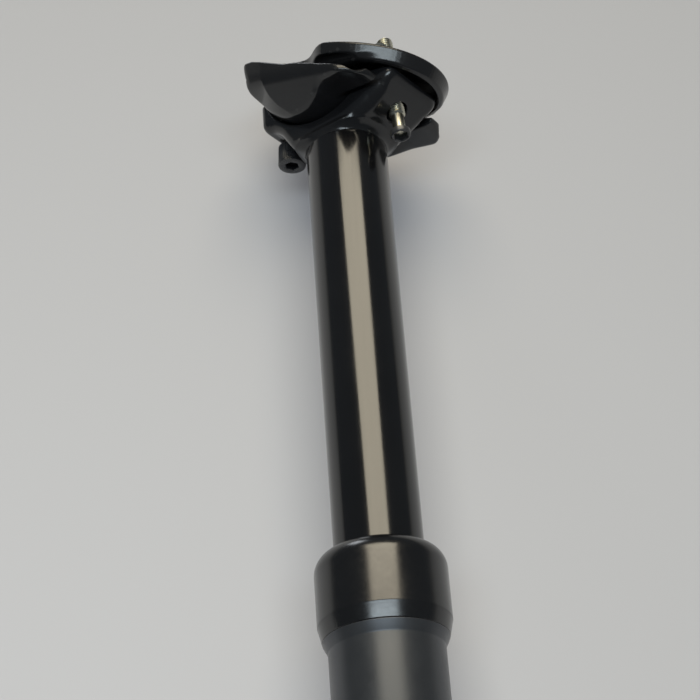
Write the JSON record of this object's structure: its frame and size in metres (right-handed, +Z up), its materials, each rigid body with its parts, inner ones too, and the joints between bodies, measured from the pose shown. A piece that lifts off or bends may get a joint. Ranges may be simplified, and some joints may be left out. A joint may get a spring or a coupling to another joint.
{
  "type": "dropper seatpost",
  "caption": "Telescopic bicycle seatpost with a gas-sprung sliding tube, cable-released actuator in its foot and a two-bolt tilting saddle rail clamp.",
  "frame": {"origin": "post axis at the top of the plain tube that goes into the frame", "axes": "+Z up the post to the saddle, +X to the front of the bicycle, +Y to its left"},
  "size_m": [0.0644, 0.054, 0.426],
  "materials": {
    "tube_grey": "matte dark grey anodised",
    "gloss_black": "gloss black anodised",
    "collar_black": "gloss black anodised",
    "forged_black": "satin black anodised forging",
    "bare_alloy": "turned, bare",
    "steel": "zinc plated",
    "black_steel": "black oxide",
    "rod_steel": "hard chromed rod",
    "brass": "machined",
    "rubber": "matte black",
    "bushing": "bronze-filled polymer",
    "seal": "nitrile"
  },
  "bodies": {
    "outer": {"outer_tube": "tube_grey", "collar": "collar_black", "wiper_seal": "rubber", "upper_bushing": "bushing", "bushing_clip": "steel", "bottom_bumper": "rubber", "base_cap": "bare_alloy", "lever_pin": "steel", "rod_nut": "steel", "cartridge_rod": "rod_steel", "main_piston": "brass", "main_piston_seal": "seal"},
    "post": {"stanchion": "gloss_black", "head": "forged_black", "top_bumper": "rubber", "keys": "brass", "lower_bushing": "bushing", "cartridge_body": "bare_alloy", "cartridge_gland": "brass", "rod_seal": "seal", "cartridge_clip": "steel", "front_bolt": "steel", "rear_bolt": "black_steel"},
    "float": {"floating_piston": "bare_alloy", "floating_seal": "seal"},
    "clamp": {"lower_cradle": "forged_black", "upper_clamp": "forged_black"},
    "nut_front": {"front_nut": "steel"},
    "nut_rear": {"rear_nut": "steel"},
    "release_lever": {"lever": "bare_alloy"},
    "release_pin": {"valve_pin": "steel"}
  },
  "joints": [
    {"name": "post_slide", "type": "slide", "parent": "outer", "child": "post", "axis": [0, 0, 1], "range_m": [-0.125, 0], "stiffness_N_per_m": 300, "springref_m": 0.6},
    {"name": "float_slide", "type": "slide", "parent": "post", "child": "float", "axis": [0, 0, 1], "range_m": [0, 0.0367]},
    {"name": "clamp_tilt", "type": "hinge", "parent": "post", "child": "clamp", "pos_m": [0, 0, 0.192], "axis": [0, 1, 0], "range_deg": [-12, 4]},
    {"name": "front_nut_slide", "type": "slide", "parent": "post", "child": "nut_front", "axis": [-0.0715, 0, 0.9974], "range_m": [-0.0015, 0.0043]},
    {"name": "rear_nut_slide", "type": "slide", "parent": "post", "child": "nut_rear", "axis": [0.0715, 0, 0.9974], "range_m": [-0.0046, 0.0016]},
    {"name": "pin_slide", "type": "slide", "parent": "outer", "child": "release_pin", "axis": [0, 0, 1], "range_m": [0, 0.0022], "stiffness_N_per_m": 4000, "springref_m": -0.004},
    {"name": "lever_turn", "type": "hinge", "parent": "outer", "child": "release_lever", "pos_m": [0.0045, 0, -0.2055], "axis": [0, 1, 0], "range_deg": [0, 28.1]}
  ],
  "couplings": [
    {"joint": "float_slide", "follows": "post_slide", "ratio": -0.29218},
    {"joint": "front_nut_slide", "follows": "clamp_tilt", "m_per_rad": -0.0199},
    {"joint": "rear_nut_slide", "follows": "clamp_tilt", "m_per_rad": 0.0214},
    {"joint": "lever_turn", "follows": "pin_slide", "rad_per_m": 222.22}
  ]
}
